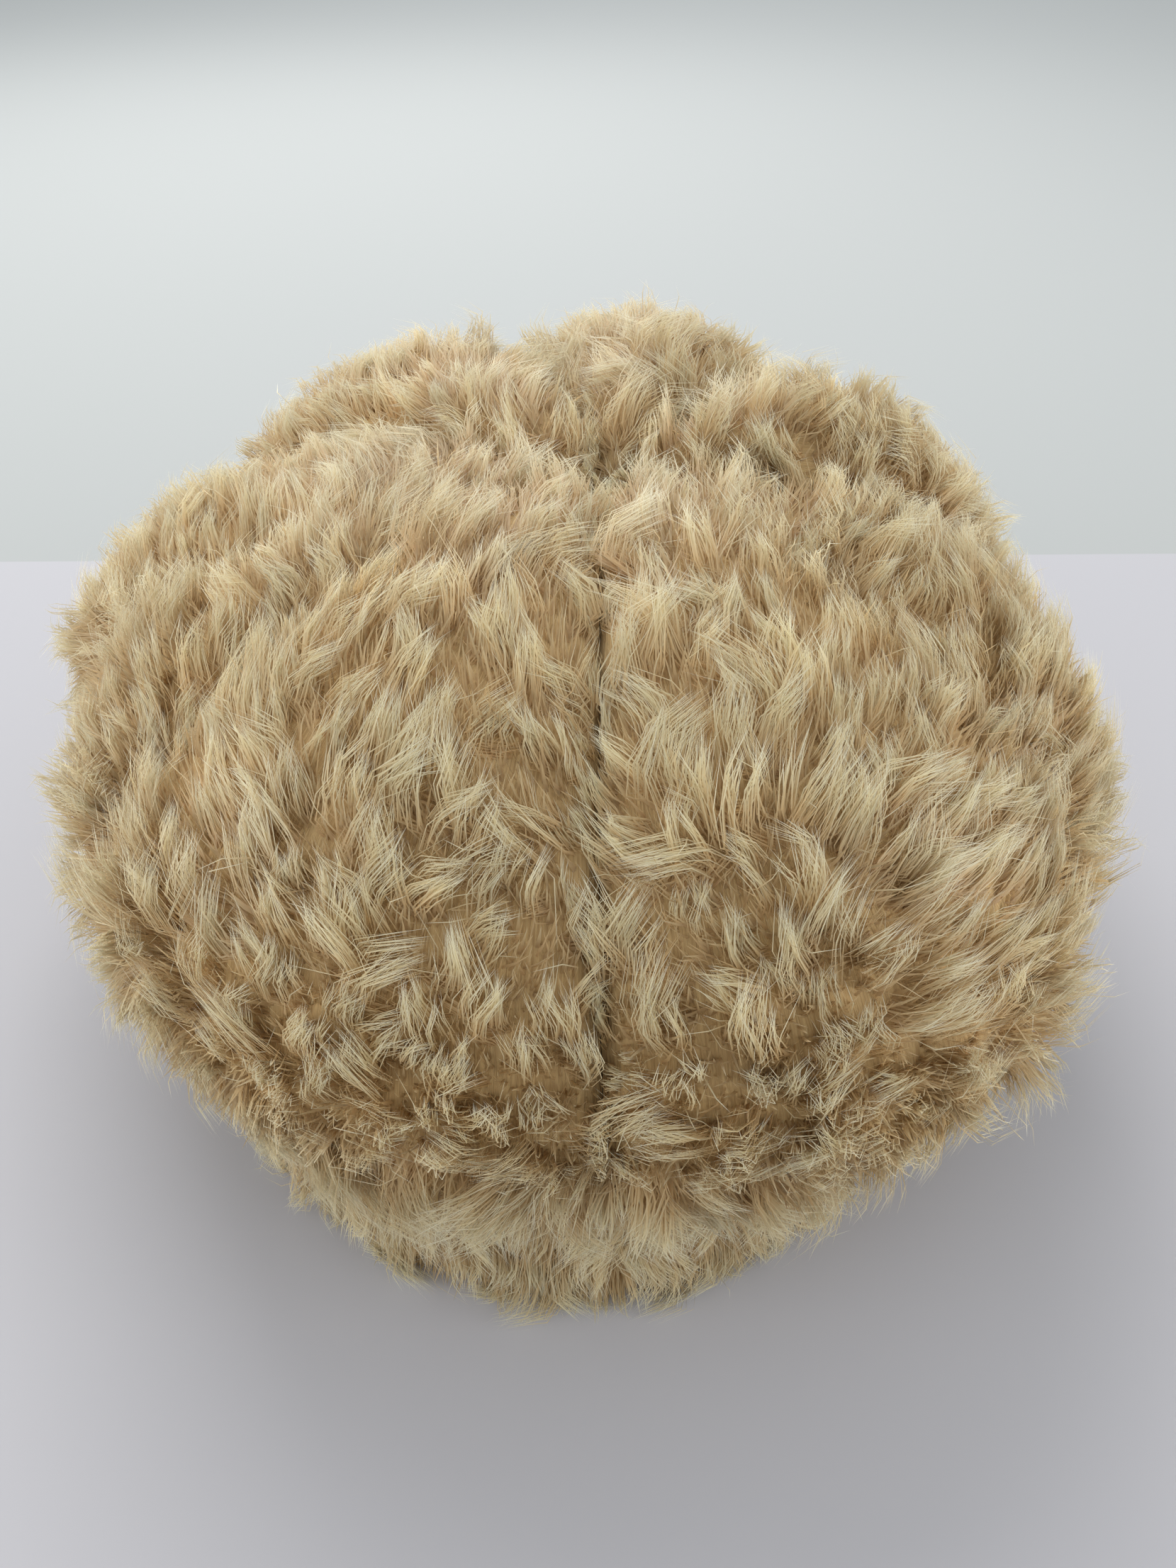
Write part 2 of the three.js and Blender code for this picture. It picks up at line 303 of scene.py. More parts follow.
def hem_radius(azimuth):
    return oval_radius(azimuth, HEM_HALF_WIDTH, HEM_HALF_LENGTH)


def puff_share(across):
    return np.sin(np.pi * np.clip(across, 0, 1)) ** PUFF_FULLNESS


def puffed(index, across, what):
    """A panel's puff or lift: its own value in the middle, and at each seam what is
    left of the mean of the two panels there."""
    count = len(PANELS)
    own = getattr(PANELS[index], what)
    before = getattr(PANELS[(index - 1) % count], what)
    after = getattr(PANELS[(index + 1) % count], what)
    at_start = (1 - SEAMS[index].depth) * (before + own) / 2
    at_end = (1 - SEAMS[(index + 1) % count].depth) * (own + after) / 2
    base = at_start + (at_end - at_start) * across
    return base + (own - base) * puff_share(across)


def seam_azimuth(index, going):
    seam = SEAMS[index % len(SEAMS)]
    lap = 360 if index >= len(SEAMS) else 0
    return np.radians(lap + seam.at_centre + (seam.at_hem - seam.at_centre) * np.minimum(going, 1))


def panel_azimuth(index, across, going):
    start = seam_azimuth(index, going)
    return start + (seam_azimuth(index + 1, going) - start) * across


def placed(azimuth, radius, height):
    """Points at these azimuths from the centre back, as an array of rows."""
    x = radius * np.sin(azimuth)
    y = -radius * np.cos(azimuth)
    return np.stack([x, y, height], -1)


def crown_cloth(index, across, going):
    """The outer face of a panel's cloth. Across goes from seam to seam, and going
    is 0 at the crown centre, 1 at the widest line and 2 at the hem band."""
    across, going = np.broadcast_arrays(np.asarray(across, float), np.asarray(going, float))
    azimuth = panel_azimuth(index, across, going)
    widest = WIDEST_HEIGHT - WIDEST_RISE_TO_LEFT * np.sin(azimuth)
    reach = crown_radius(azimuth) + puffed(index, across, "puff")
    upper = np.clip(going, 0, 1) * np.pi / 2
    under = np.clip(going - 1, 0, 1) * np.pi / 2
    above = reach * np.sin(upper) ** SHOULDER
    neck = hem_radius(azimuth) + HEM_RIM_TURN
    below = neck + (reach - neck) * np.maximum(np.cos(under), 0) ** UNDERSIDE_FULLNESS
    radius = np.where(going <= 1, above, below)
    top = widest + (CROWN_CENTRE_HEIGHT - widest) * np.maximum(np.cos(upper), 0) ** DOME
    top += puffed(index, across, "lift") * np.maximum(np.sin(2 * upper), 0) ** LIFT_SPREAD
    low = HEM_HEIGHT + GAP + HEM_RIM_TURN
    height = np.where(going <= 1, top, widest - (widest - low) * np.sin(under))
    height = height - CENTRE_DIMPLE * np.exp(-((radius / CENTRE_DIMPLE_REACH) ** 2))
    points = placed(azimuth, radius, height)
    shift = np.maximum(1 - radius / CENTRE_SHIFT_FADE, 0)
    points[..., 0] += CENTRE_SHIFT[0] * shift + HAT_SHIFT[0]
    points[..., 1] += CENTRE_SHIFT[1] * shift + HAT_SHIFT[1]
    return points


def hem_cloth(index, across, going):
    """The outer face of the hem band. Across goes all the way round, and going is
    0 at the top and 1 at the lower edge."""
    across, going = np.broadcast_arrays(np.asarray(across, float), np.asarray(going, float))
    azimuth = FULL_TURN * across
    points = placed(azimuth, hem_radius(azimuth), HEM_HEIGHT * (1 - going))
    points[..., 0] += HAT_SHIFT[0]
    points[..., 1] += HAT_SHIFT[1]
    return points


def unit(vectors):
    return vectors / np.maximum(np.linalg.norm(vectors, axis=-1, keepdims=True), TINY)


def cloth_frame(cloth, index, across, going):
    """The point, the way down the cloth, the way across it and the way out of it,
    with how far one whole step of across and of going would reach."""
    step = FRAME_STEP
    point = cloth(index, across, going)
    side = (cloth(index, across + step, going) - cloth(index, across - step, going)) / (2 * step)
    down = (cloth(index, across, going + step) - cloth(index, across, going - step)) / (2 * step)
    wide = np.linalg.norm(side, axis=-1)
    long = np.linalg.norm(down, axis=-1)
    down = unit(down)
    out = unit(np.cross(down, unit(side)))
    return point, down, unit(np.cross(out, down)), out, wide, long


def ripple(points, wavelength, seed):
    """A smooth value from -1 to 1 that changes over about one wavelength."""
    rng = np.random.default_rng(seed)
    total = np.zeros(len(points))
    for _ in range(WAVES):
        way = unit(rng.normal(size=3))
        length = wavelength * rng.uniform(*WAVE_LENGTHS)
        total += np.sin(2 * np.pi * points @ way / length + rng.uniform(0, WAVE_PHASES))
    return total / math.sqrt(WAVES)


def rows_of_locks(cloth, index, low, high, spacing, rng):
    """Lock roots about one spacing apart over a strip of cloth, as across and going."""
    fine = np.linspace(low, high, DOWN_STEPS)
    middle = cloth(index, np.full(DOWN_STEPS, 0.5), fine)
    walked = np.concatenate([[0], np.cumsum(np.linalg.norm(np.diff(middle, axis=0), axis=1))])
    rows = max(int(walked[-1] / spacing), 1)
    found = []
    for row in range(rows):
        going = np.interp((row + 0.5) * walked[-1] / rows, walked, fine)
        line = cloth(index, np.linspace(0, 1, ACROSS_STEPS), np.full(ACROSS_STEPS, going))
        width = np.linalg.norm(np.diff(line, axis=0), axis=1).sum()
        count = max(int(round(width / spacing)), 1)
        across = (np.arange(count) + rng.uniform(0, 1)) / count
        across = (across + rng.uniform(-ROOT_JITTER, ROOT_JITTER, count) / count) % 1
        wander = rng.uniform(-ROOT_JITTER, ROOT_JITTER, count) * (high - low) / rows
        found.append(np.stack([across, np.full(count, going) + wander], 1))
    return np.concatenate(found)


def lie(point, down_way, side_way, going, style):
    """How the pile leans at each place, as shares down the cloth and across it. On
    the crown it lies to the front, and up the back, and below the widest line it
    turns down to the hem."""
    seed = style["waves_seed"]
    down = style["nap_down"] * np.ones(len(going))
    sideways = np.zeros(len(going))
    if not style["closed"]:
        upper = np.clip(NAP_ENDS - going, 0, 1)
        rise = -style["nap_rise"] * np.clip(point[:, 1] / style["nap_turn"], -1, 1)
        nap = np.stack([np.zeros(len(going)), np.full(len(going), style["nap_ahead"]), rise], 1)
        down = upper * (down_way * nap).sum(1)
        sideways = upper * (side_way * nap).sum(1)
        down += style["nap_down"] * np.sin(np.pi * np.clip(going - DROOP_STARTS, 0, DROOP_GROWS_OVER))
    swirl_down = style["swirl"] * ripple(point, SWIRL_WAVES[0], seed + 1)
    swirl_down = swirl_down + style["stir"] * ripple(point, STIR_WAVES[0], seed + 2)
    swirl_side = style["swirl"] * ripple(point, SWIRL_WAVES[1], seed + 3)
    swirl_side = swirl_side + style["stir"] * ripple(point, STIR_WAVES[1], seed + 4)
    down = down + style["swirl_down"] * swirl_down
    sideways = sideways + swirl_side
    far = np.hypot(down, sideways)
    more = np.hypot(far, style["least_lean"]) / np.maximum(far, SMALLEST_LEAN)
    return down * more, sideways * more


def beside_seam(across, going, wide, style):
    """How clear of its panel's seams each root is, from 0 at one to 1, and which
    way leads off from the nearer one."""
    if style["closed"]:
        return np.ones(len(across)), np.zeros(len(across))
    far = np.minimum(across, 1 - across) * wide
    clear = np.clip(far / style["seam_reach"], 0, 1)
    off = np.where(across < 0.5, 1, -1) * np.clip(PARTING_ENDS - going, 0, 1)
    return clear, off


def height_share(clear, going, style):
    """The pile's height at each root: low at a seam, but less so down the crown."""
    low = style["seam_height"]
    taller = np.clip((going - TALLER_SEAM_STARTS) / TALLER_SEAM_GROWS_OVER, 0, 1)
    low = low + (TALLER_SEAM_HEIGHT - low) * taller
    return low + (1 - low) * clear ** style["seam_rise"]


def kept_off_seam(lean_side, reach, across, going, wide, style):
    """The lean across, held so that no hair on the upper crown lies over a seam."""
    clear, off = beside_seam(across, going, wide, style)
    lean_side = lean_side + style["parting"] * off * (1 - clear)
    if style["closed"]:
        return lean_side
    loose = 1 + LOOSE_BELOW_WIDEST * np.clip(going - 1, 0, 1)
    least = -style["seam_hold"] * across * wide * loose / reach
    most = style["seam_hold"] * (1 - across) * wide * loose / reach
    return np.clip(lean_side, least, most)


def even_locks(cloth, index, rng, style):
    """Lock roots picked so that the locks' middles, and not their roots, lie evenly,
    because where the pile parts it would leave the cloth bare."""
    close = style["spacing"] / style["choice"]
    locks = rows_of_locks(cloth, index, style["low"], style["high"], close, rng)
    across = locks[:, 0]
    going = np.clip(locks[:, 1], style["low"], style["high"])
    point, down, side, _, _, _ = cloth_frame(cloth, index, across, going)
    lean_down, lean_side = lie(point, down, side, going, style)
    reach = style["length"] * style["seen_at"] / np.hypot(1, np.hypot(lean_down, lean_side))
    middle = point + down * (lean_down * reach)[:, None] + side * (lean_side * reach)[:, None]
    chosen = []
    places = np.empty((len(across), 3))
    for lock in rng.permutation(len(across)):
        near = places[: len(chosen)] - middle[lock]
        if (near * near).sum(1).min(initial=np.inf) > style["apart"] ** 2:
            places[len(chosen)] = middle[lock]
            chosen.append(lock)
    return across[chosen], going[chosen]


def within_disc(number, radius, rng):
    """Random places in a disc, as steps across and down."""
    turn = rng.uniform(0, FULL_TURN, number)
    far = radius * np.sqrt(rng.uniform(0, 1, number))
    return far * np.cos(turn), far * np.sin(turn)


def clear_of_floor(hair, rng, style):
    """Lifts what would reach below the floor to low places of its own."""
    if style["closed"]:
        lowest = rng.uniform(*style["above_floor"], len(hair))
        hair[:, :, 2] = np.maximum(hair[:, :, 2], lowest[:, None])
    return hair


def ribbon_sides(hair, beside, roll):
    """The unit way across each ribbon and along it, at each of its stations."""
    along = unit(np.gradient(hair, axis=1))
    flat = unit(np.cross(along, beside))
    facing = np.cross(flat, along)
    roll = roll[:, None, None]
    return flat * np.cos(roll) + facing * np.sin(roll), along


def pile_mesh(name, points, sides, normals, tones, spans, material):
    """One tapered ribbon for each hair. Its tone goes across the tone map and its
    length goes up the map."""
    points, sides = points * MM, sides * MM
    hairs, stations = points.shape[:2]
    body = stations - 1
    left = points[:, :body] - sides[:, :body]
    right = points[:, :body] + sides[:, :body]
    verts = np.stack([left, right], 2).reshape(hairs, 2 * body, 3)
    verts = np.concatenate([verts, points[:, body:]], 1)
    per_hair = 2 * body + 1

    # Four-sided faces up the ribbon, and one three-sided face at its tip
    first = (np.arange(hairs) * per_hair)[:, None]
    corners = [np.array([2 * i, 2 * i + 1, 2 * i + 3, 2 * i + 2]) for i in range(body - 1)]
    corners = np.concatenate([*corners, np.array([2 * body - 2, 2 * body - 1, 2 * body])])
    loops = (first + corners[None, :]).ravel()
    totals = np.tile(np.array([4] * (body - 1) + [3]), hairs)
    starts = np.concatenate([[0], np.cumsum(totals)[:-1]])
    mesh = bpy.data.meshes.new(name)
    mesh.vertices.add(hairs * per_hair)
    mesh.vertices.foreach_set("co", verts.astype(np.float32).ravel())
    mesh.loops.add(len(loops))
    mesh.loops.foreach_set("vertex_index", loops.astype(np.int32))
    mesh.polygons.add(len(totals))
    mesh.polygons.foreach_set("loop_start", starts.astype(np.int32))
    mesh.update(calc_edges=True)

    # Where each corner lies on the tone map
    place = np.zeros((hairs, per_hair, 2))
    near = (tones + COLUMN_START) / TONES
    far = (tones + COLUMN_END) / TONES
    low, high = spans[:, 0], spans[:, 1]
    for i in range(body):
        place[:, 2 * i, 0] = near
        place[:, 2 * i + 1, 0] = far
        place[:, 2 * i, 1] = low + (high - low) * i / body
        place[:, 2 * i + 1, 1] = place[:, 2 * i, 1]
    place[:, -1, 0] = (near + far) / 2
    place[:, -1, 1] = high
    flat = place.reshape(-1, 2)[loops].astype(np.float32).ravel()
    for layer in ("OFBake", "strand"):
        mesh.uv_layers.new(name=layer).data.foreach_set("uv", flat)

    mesh.polygons.foreach_set("use_smooth", np.ones(len(totals), bool))
    mesh.materials.append(material)
    at_verts = np.concatenate([np.repeat(normals[:, :body], 2, axis=1), normals[:, body:]], 1)
    mesh.normals_split_custom_set_from_vertices(at_verts.reshape(-1, 3).astype(np.float32))
    piece = bpy.data.objects.new(name, mesh)
    bpy.context.scene.collection.objects.link(piece)
    return piece


def grow(name, cloth, index, rng, style, material):
    """A pile of locks, each of a few tufts of hairs that gather to their tips."""
    across, going = even_locks(cloth, index, rng, style)
    count = len(across)
    tuft_count = count * style["tufts"]
    point, down, side, out, wide, long = cloth_frame(cloth, index, across, going)
    own_lock = np.repeat(np.arange(count), style["tufts"] * style["hairs"])
    own_tuft = np.repeat(np.arange(tuft_count), style["hairs"])
    total = len(own_lock)

    # Each tuft's place in its lock, and each hair's place in its tuft
    tuft_side, tuft_down = within_disc(tuft_count, style["lock_spread"], rng)
    hair_side, hair_down = within_disc(total, style["tuft_spread"], rng)
    root_side = tuft_side[own_tuft] + hair_side
    root_down = tuft_down[own_tuft] + hair_down
    own_across = across[own_lock] + root_side / wide[own_lock]
    if not style["closed"]:
        edge = EDGE_MARGIN / wide[own_lock]
        own_across = np.clip(own_across, edge, 1 - edge)
    own_going = np.clip(going[own_lock] + root_down / long[own_lock], style["low"], style["high"])
    root, own_down, own_side, own_out, own_wide, _ = cloth_frame(cloth, index, own_across, own_going)

    # How each hair leans
    lean_down, lean_side = lie(point, down, side, going, style)
    lean_down = lean_down + rng.normal(0, LOCK_LEAN_DOWN, count)
    lean_side = lean_side + rng.normal(0, LOCK_LEAN_ACROSS, count)
    lean_down = lean_down[own_lock] + rng.normal(0, TUFT_LEAN_DOWN, tuft_count)[own_tuft]
    lean_down = lean_down + rng.normal(0, HAIR_LEAN, total)
    lean_side = lean_side[own_lock] + rng.normal(0, TUFT_LEAN_ACROSS, tuft_count)[own_tuft]
    lean_side = lean_side + rng.normal(0, HAIR_LEAN, total)
    stray = rng.uniform(0, 1, total) < style["stray"]
    lean_down = lean_down + stray * rng.normal(0, STRAY_LEAN, total)
    lean_side = lean_side + stray * rng.normal(0, STRAY_LEAN, total)

    # How long each hair is, and shorter towards a seam
    length = 1 + LENGTH_WAVE * ripple(point, LENGTH_WAVES, style["waves_seed"] + 5)
    length = style["length"] * (length + rng.normal(0, LOCK_LENGTH, count))[own_lock]
    length = length * rng.uniform(*TUFT_LENGTHS, tuft_count)[own_tuft]
    length = length * rng.uniform(*HAIR_LENGTHS, total)
    under = rng.uniform(0, 1, total) < style["under"]
    under_length = style["under_length"] * rng.uniform(*UNDER_LENGTHS, total)
    clear, _ = beside_seam(own_across, own_going, own_wide, style)
    length = np.where(under, under_length, length) * height_share(clear, own_going, style)

    # A hair of a given length that leans more rises less, and its lean is held
    # once more after its reach has changed
    for _ in range(2):
        leaning = np.hypot(lean_down, lean_side)
        slope = np.arctan(leaning * style["softness"])
        reach = length * np.sin(slope) / np.maximum(leaning, TINY)
        lean_side = kept_off_seam(lean_side, reach, own_across, own_going, own_wide, style)
    rise = length * np.cos(slope) * style["stand"]
    up = unit(own_out + out[own_lock])
    ahead = own_down * (lean_down * reach)[:, None] + own_side * (lean_side * reach)[:, None]

    # The tufts draw together to their lock, and the hairs to their tuft
    to_lock = -(own_side * tuft_side[own_tuft][:, None] + own_down * tuft_down[own_tuft][:, None])
    to_tuft = -(own_side * hair_side[:, None] + own_down * hair_down[:, None])
    gather = np.where(stray | under, 0, 1)
    inwards = to_lock * (style["lock_gather"] * gather)[:, None]
    own_gather = style["tuft_gather"] * gather * rng.uniform(*GATHER_SHARES, total)
    inwards = inwards + to_tuft * own_gather[:, None]
    beside = unit(np.cross(up, ahead + up * NUDGE + own_side * NUDGE))
    curl = rng.normal(0, style["curl"], count)[own_lock]
    curl = curl + rng.normal(0, style["curl"] / 2, tuft_count)[own_tuft]
    curl = curl + rng.normal(0, HAIR_CURL, total)

    t = np.linspace(0, 1, len(HAIR_TAPER))[None, :, None]
    hair = root[:, None, :] - up[:, None, :] * ROOT_DEPTH
    hair = hair + up[:, None, :] * rise[:, None, None] * (1 - (1 - t) ** RISE_BEND)
    hair = hair + ahead[:, None, :] * t ** LEAN_BEND
    hair = hair + inwards[:, None, :] * t
    hair = hair + beside[:, None, :] * (curl * length)[:, None, None] * np.sin(np.pi * t * CURL_TURN)
    hair = clear_of_floor(hair, rng, style)

    roll = rng.normal(0, HAIR_ROLL, total)
    sides, along = ribbon_sides(hair, up[:, None, :] + own_side[:, None, :] * SIDE_NUDGE, roll)
    width = style["width"] * rng.uniform(*HAIR_WIDTHS, total)[:, None, None]
    normals = unit(np.cross(sides, along) * style["own_normal"] + own_out[:, None, :])
    sides = sides * np.array(HAIR_TAPER)[None, :, None] * width / 2

    # Each hair's tone, and how much of the way from root to tip it shows
    tone = rng.normal(MIDDLE_TONE, LOCK_TONE, count)[own_lock]
    tone = tone + rng.normal(0, TUFT_TONE, tuft_count)[own_tuft]
    tone = tone + rng.normal(0, HAIR_TONE, total)
    tone = np.clip(tone * TONES, 0, TONES - 1).astype(int)
    begin = rng.uniform(*ROOT_SHADES, total)
    end = np.clip(rng.normal(*TIP_SHADE, total), *TIP_SHADE_LIMITS)
    end = np.where(under, end * UNDER_TIP_SHARE, end)
    return pile_mesh(name, hair, sides, normals, tone, np.stack([begin, end], 1), material)


def grow_fuzz(name, cloth, index, rng, style, material):
    """The short dense pile between the locks, in wide soft ribbons."""
    fine = np.linspace(style["low"], style["high"], FUZZ_DOWN_STEPS)
    columns = (np.arange(FUZZ_ACROSS_STEPS) + 0.5) / FUZZ_ACROSS_STEPS
    grid_across, grid_going = np.meshgrid(columns, (fine[1:] + fine[:-1]) / 2)
    grid_across, grid_going = grid_across.ravel(), grid_going.ravel()
    _, _, _, _, wide, long = cloth_frame(cloth, index, grid_across, grid_going)

    # As many ribbons everywhere for the same area of cloth
    area = wide / FUZZ_ACROSS_STEPS * long * (fine[1] - fine[0])
    total = int(area.sum() * style["fuzz_density"])
    cell = rng.choice(len(area), total, p=area / area.sum())
    across = grid_across[cell] + rng.uniform(-0.5, 0.5, total) / FUZZ_ACROSS_STEPS
    going = grid_going[cell] + rng.uniform(-0.5, 0.5, total) * (fine[1] - fine[0])
    root, down, side, out, wide, _ = cloth_frame(cloth, index, across, going)
    clear, _ = beside_seam(across, going, wide, style)
    lean_down, lean_side = lie(root, down, side, going, style)
    lean_down = lean_down + rng.normal(0, FUZZ_LEAN, total)
    lean_side = lean_side + rng.normal(0, FUZZ_LEAN, total)
    length = style["fuzz_length"] * rng.uniform(*FUZZ_LENGTHS, total)
    length = length * height_share(clear, going, style)
    lean_side = kept_off_seam(lean_side, length, across, going, wide, style)
    way = out + down * lean_down[:, None] + side * lean_side[:, None]
    way = unit(way) * length[:, None]

    t = np.linspace(0, 1, len(FUZZ_TAPER))[None, :, None]
    hair = root[:, None, :] - out[:, None, :] * ROOT_DEPTH + way[:, None, :] * t
    hair = hair + down[:, None, :] * (lean_down * length * FUZZ_BEND)[:, None, None] * t * (t - 1)
    hair = clear_of_floor(hair, rng, style)
    roll = rng.normal(0, FUZZ_ROLL, total)
    sides, along = ribbon_sides(hair, out[:, None, :] + side[:, None, :] * SIDE_NUDGE, roll)
    width = style["fuzz_width"] * rng.uniform(*FUZZ_WIDTHS, total)[:, None, None]
    normals = unit(np.cross(sides, along) * style["own_normal"] + out[:, None, :])
    sides = sides * np.array(FUZZ_TAPER)[None, :, None] * width / 2
    tone = np.clip(rng.normal(*FUZZ_TONE, total) * TONES, 0, TONES - 1).astype(int)
    spans = np.stack([rng.uniform(*ROOT_SHADES, total), rng.uniform(*FUZZ_TIPS, total)], 1)
    return pile_mesh(name, hair, sides, normals, tone, spans, material)


def new_material(name, **settings):
    """A material with a Principled shader whose named inputs have these values. An
    input's name is written with _ for its spaces."""
    material = bpy.data.materials.new(name)
    material.use_nodes = True
    shader = material.node_tree.nodes["Principled BSDF"]
    for socket, value in settings.items():
        shader.inputs[socket.replace("_", " ")].default_value = value
    return material, shader


def ramp_stops(node, stops):
    """Sets a colour ramp's stops, each a place and a colour."""
    ramp = node.color_ramp
    ramp.elements[0].position, ramp.elements[0].color = stops[0][0], (*stops[0][1], 1)
    ramp.elements[1].position, ramp.elements[1].color = stops[-1][0], (*stops[-1][1], 1)
    for position, colour in stops[1:-1]:
        ramp.elements.new(position).color = (*colour, 1)


def pile_material():
    """The pile's colour from root to tip, with each tuft's own tone."""
    material, shader = new_material(
        "plush_pile",
        Roughness=0.42,
        Specular_IOR_Level=0.5,
        Sheen_Weight=0.4,
        Sheen_Roughness=0.4,
        Sheen_Tint=(1.0, 0.97, 0.86, 1),
    )
    nodes, links = material.node_tree.nodes, material.node_tree.links
    place = nodes.new("ShaderNodeUVMap")
    place.uv_map = "strand"
    split = nodes.new("ShaderNodeSeparateXYZ")
    links.new(place.outputs["UV"], split.inputs["Vector"])
    shades = nodes.new("ShaderNodeValToRGB")
    ramp_stops(shades, PILE_SHADES)
    links.new(split.outputs["Y"], shades.inputs["Fac"])
    tone = nodes.new("ShaderNodeMapRange")
    tone.inputs["To Min"].default_value = DARKEST_TONE
    tone.inputs["To Max"].default_value = LIGHTEST_TONE
    links.new(split.outputs["X"], tone.inputs["Value"])
    tint = nodes.new("ShaderNodeVectorMath")
    tint.operation = "SCALE"
    links.new(shades.outputs["Color"], tint.inputs["Vector"])
    links.new(tone.outputs["Result"], tint.inputs["Scale"])
    links.new(tint.outputs["Vector"], shader.inputs["Base Color"])

    # Light passes through the fine hairs as well as falling on them
    through = nodes.new("ShaderNodeBsdfTranslucent")
    links.new(tint.outputs["Vector"], through.inputs["Color"])
    both = nodes.new("ShaderNodeMixShader")
    both.inputs["Fac"].default_value = PASSES_THROUGH
    links.new(shader.outputs["BSDF"], both.inputs[1])
    links.new(through.outputs["BSDF"], both.inputs[2])
    links.new(both.outputs["Shader"], nodes["Material Output"].inputs["Surface"])
    return material


def fibre_grain_group():
    """Two shades of fibre, parted by noise, and the height of the fibres."""
    group = bpy.data.node_groups.new("fibre_grain", "ShaderNodeTree")
    given_values = ("Scale", "Detail", "Distortion", "Low Value", "High Value")
    group.interface.new_socket("Place", in_out="INPUT", socket_type="NodeSocketVector")
    for name in given_values:
        group.interface.new_socket(name, in_out="INPUT", socket_type="NodeSocketFloat")
    for name in ("Low Shade", "High Shade"):
        group.interface.new_socket(name, in_out="INPUT", socket_type="NodeSocketColor")
    group.interface.new_socket("Shade", in_out="OUTPUT", socket_type="NodeSocketColor")
    group.interface.new_socket("Height", in_out="OUTPUT", socket_type="NodeSocketFloat")
    nodes, links = group.nodes, group.links
    given = nodes.new("NodeGroupInput")
    result = nodes.new("NodeGroupOutput")
    fibres = nodes.new("ShaderNodeTexNoise")
    links.new(given.outputs["Place"], fibres.inputs["Vector"])
    for name in ("Scale", "Detail", "Distortion"):
        links.new(given.outputs[name], fibres.inputs[name])
    share = nodes.new("ShaderNodeMapRange")
    links.new(fibres.outputs["Fac"], share.inputs["Value"])
    links.new(given.outputs["Low Value"], share.inputs["From Min"])
    links.new(given.outputs["High Value"], share.inputs["From Max"])
    blend = nodes.new("ShaderNodeMix")
    blend.data_type = "RGBA"
    links.new(share.outputs["Result"], blend.inputs["Factor"])
    links.new(given.outputs["Low Shade"], blend.inputs[MIX_FIRST])
    links.new(given.outputs["High Shade"], blend.inputs[MIX_SECOND])
    links.new(blend.outputs[MIX_RESULT], result.inputs["Shade"])
    links.new(fibres.outputs["Fac"], result.inputs["Height"])
    return group


def fibre_grain(material, shader, place, relief, **settings):
    """Puts the grain into a material with its own values, and its bump on the
    shader, and gives the socket of its shade."""
    nodes, links = material.node_tree.nodes, material.node_tree.links
    grain = nodes.new("ShaderNodeGroup")
    grain.node_tree = grain_group
    links.new(place, grain.inputs["Place"])
    for socket, value in settings.items():
        grain.inputs[socket.replace("_", " ")].default_value = value
    bump = nodes.new("ShaderNodeBump")
    bump.inputs["Strength"].default_value = relief.strength
    bump.inputs["Distance"].default_value = relief.distance
    links.new(grain.outputs["Height"], bump.inputs["Height"])
    links.new(bump.outputs["Normal"], shader.inputs["Normal"])
    return grain.outputs["Shade"]


def undercoat_material():
    """The short dense pile at the roots, its colours darkened partly as painted shade of the valleys
    between the locks, with a painted shadow along the seams.
    """
    material, shader = new_material("pile_roots", Roughness=0.9, Specular_IOR_Level=0.2)
    nodes, links = material.node_tree.nodes, material.node_tree.links
    place = nodes.new("ShaderNodeTexCoord")
    stretch = nodes.new("ShaderNodeMapping")
    stretch.inputs["Scale"].default_value = ROOT_STREAKS
    links.new(place.outputs["UV"], stretch.inputs["Vector"])
    shade = fibre_grain(
        material,
        shader,
        stretch.outputs["Vector"],
        ROOT_BUMP,
        Scale=160,
        Detail=4,
        Distortion=1.5,
        Low_Value=0.3,
        High_Value=0.72,
        # The root colours are the roots' own colour, darkened partly as painted shade of the valleys
        # between the locks
        Low_Shade=(*ROOT_DARK_WITH_PAINTED_SHADE, 1),
        High_Shade=(*ROOT_LIGHT_WITH_PAINTED_SHADE, 1),
    )

    # Painted shadow along the seams, where the pile parts
    split = nodes.new("ShaderNodeSeparateXYZ")
    links.new(place.outputs["UV"], split.inputs["Vector"])
    across = nodes.new("ShaderNodeMath")
    across.operation = "PINGPONG"
    across.inputs[1].default_value = 0.5
    links.new(split.outputs["X"], across.inputs[0])
    seam = nodes.new("ShaderNodeMapRange")
    seam.inputs["From Max"].default_value = SEAM_PAINTED_SHADOW_WIDTH
    seam.inputs["To Min"].default_value = SEAM_PAINTED_SHADOW
    links.new(across.outputs["Value"], seam.inputs["Value"])
    shaded = nodes.new("ShaderNodeVectorMath")
    shaded.operation = "SCALE"
    links.new(shade, shaded.inputs["Vector"])
    links.new(seam.outputs["Result"], shaded.inputs["Scale"])
    links.new(shaded.outputs["Vector"], shader.inputs["Base Color"])
    return material


def backing_material():
    """The knitted cloth that the pile is made on, seen inside the hat."""
    material, shader = new_material("knitted_backing", Roughness=0.85, Sheen_Weight=0.2)
    place = material.node_tree.nodes.new("ShaderNodeTexCoord")
    shade = fibre_grain(
        material,
        shader,
        place.outputs["Object"],
        BACKING_BUMP,
        Scale=900,
        Detail=2,
        Distortion=0,
        Low_Value=0.3,
        High_Value=0.7,
        Low_Shade=(*BACKING_DARK, 1),
        High_Shade=(*BACKING_LIGHT, 1),
    )
    material.node_tree.links.new(shade, shader.inputs["Base Color"])
    return material


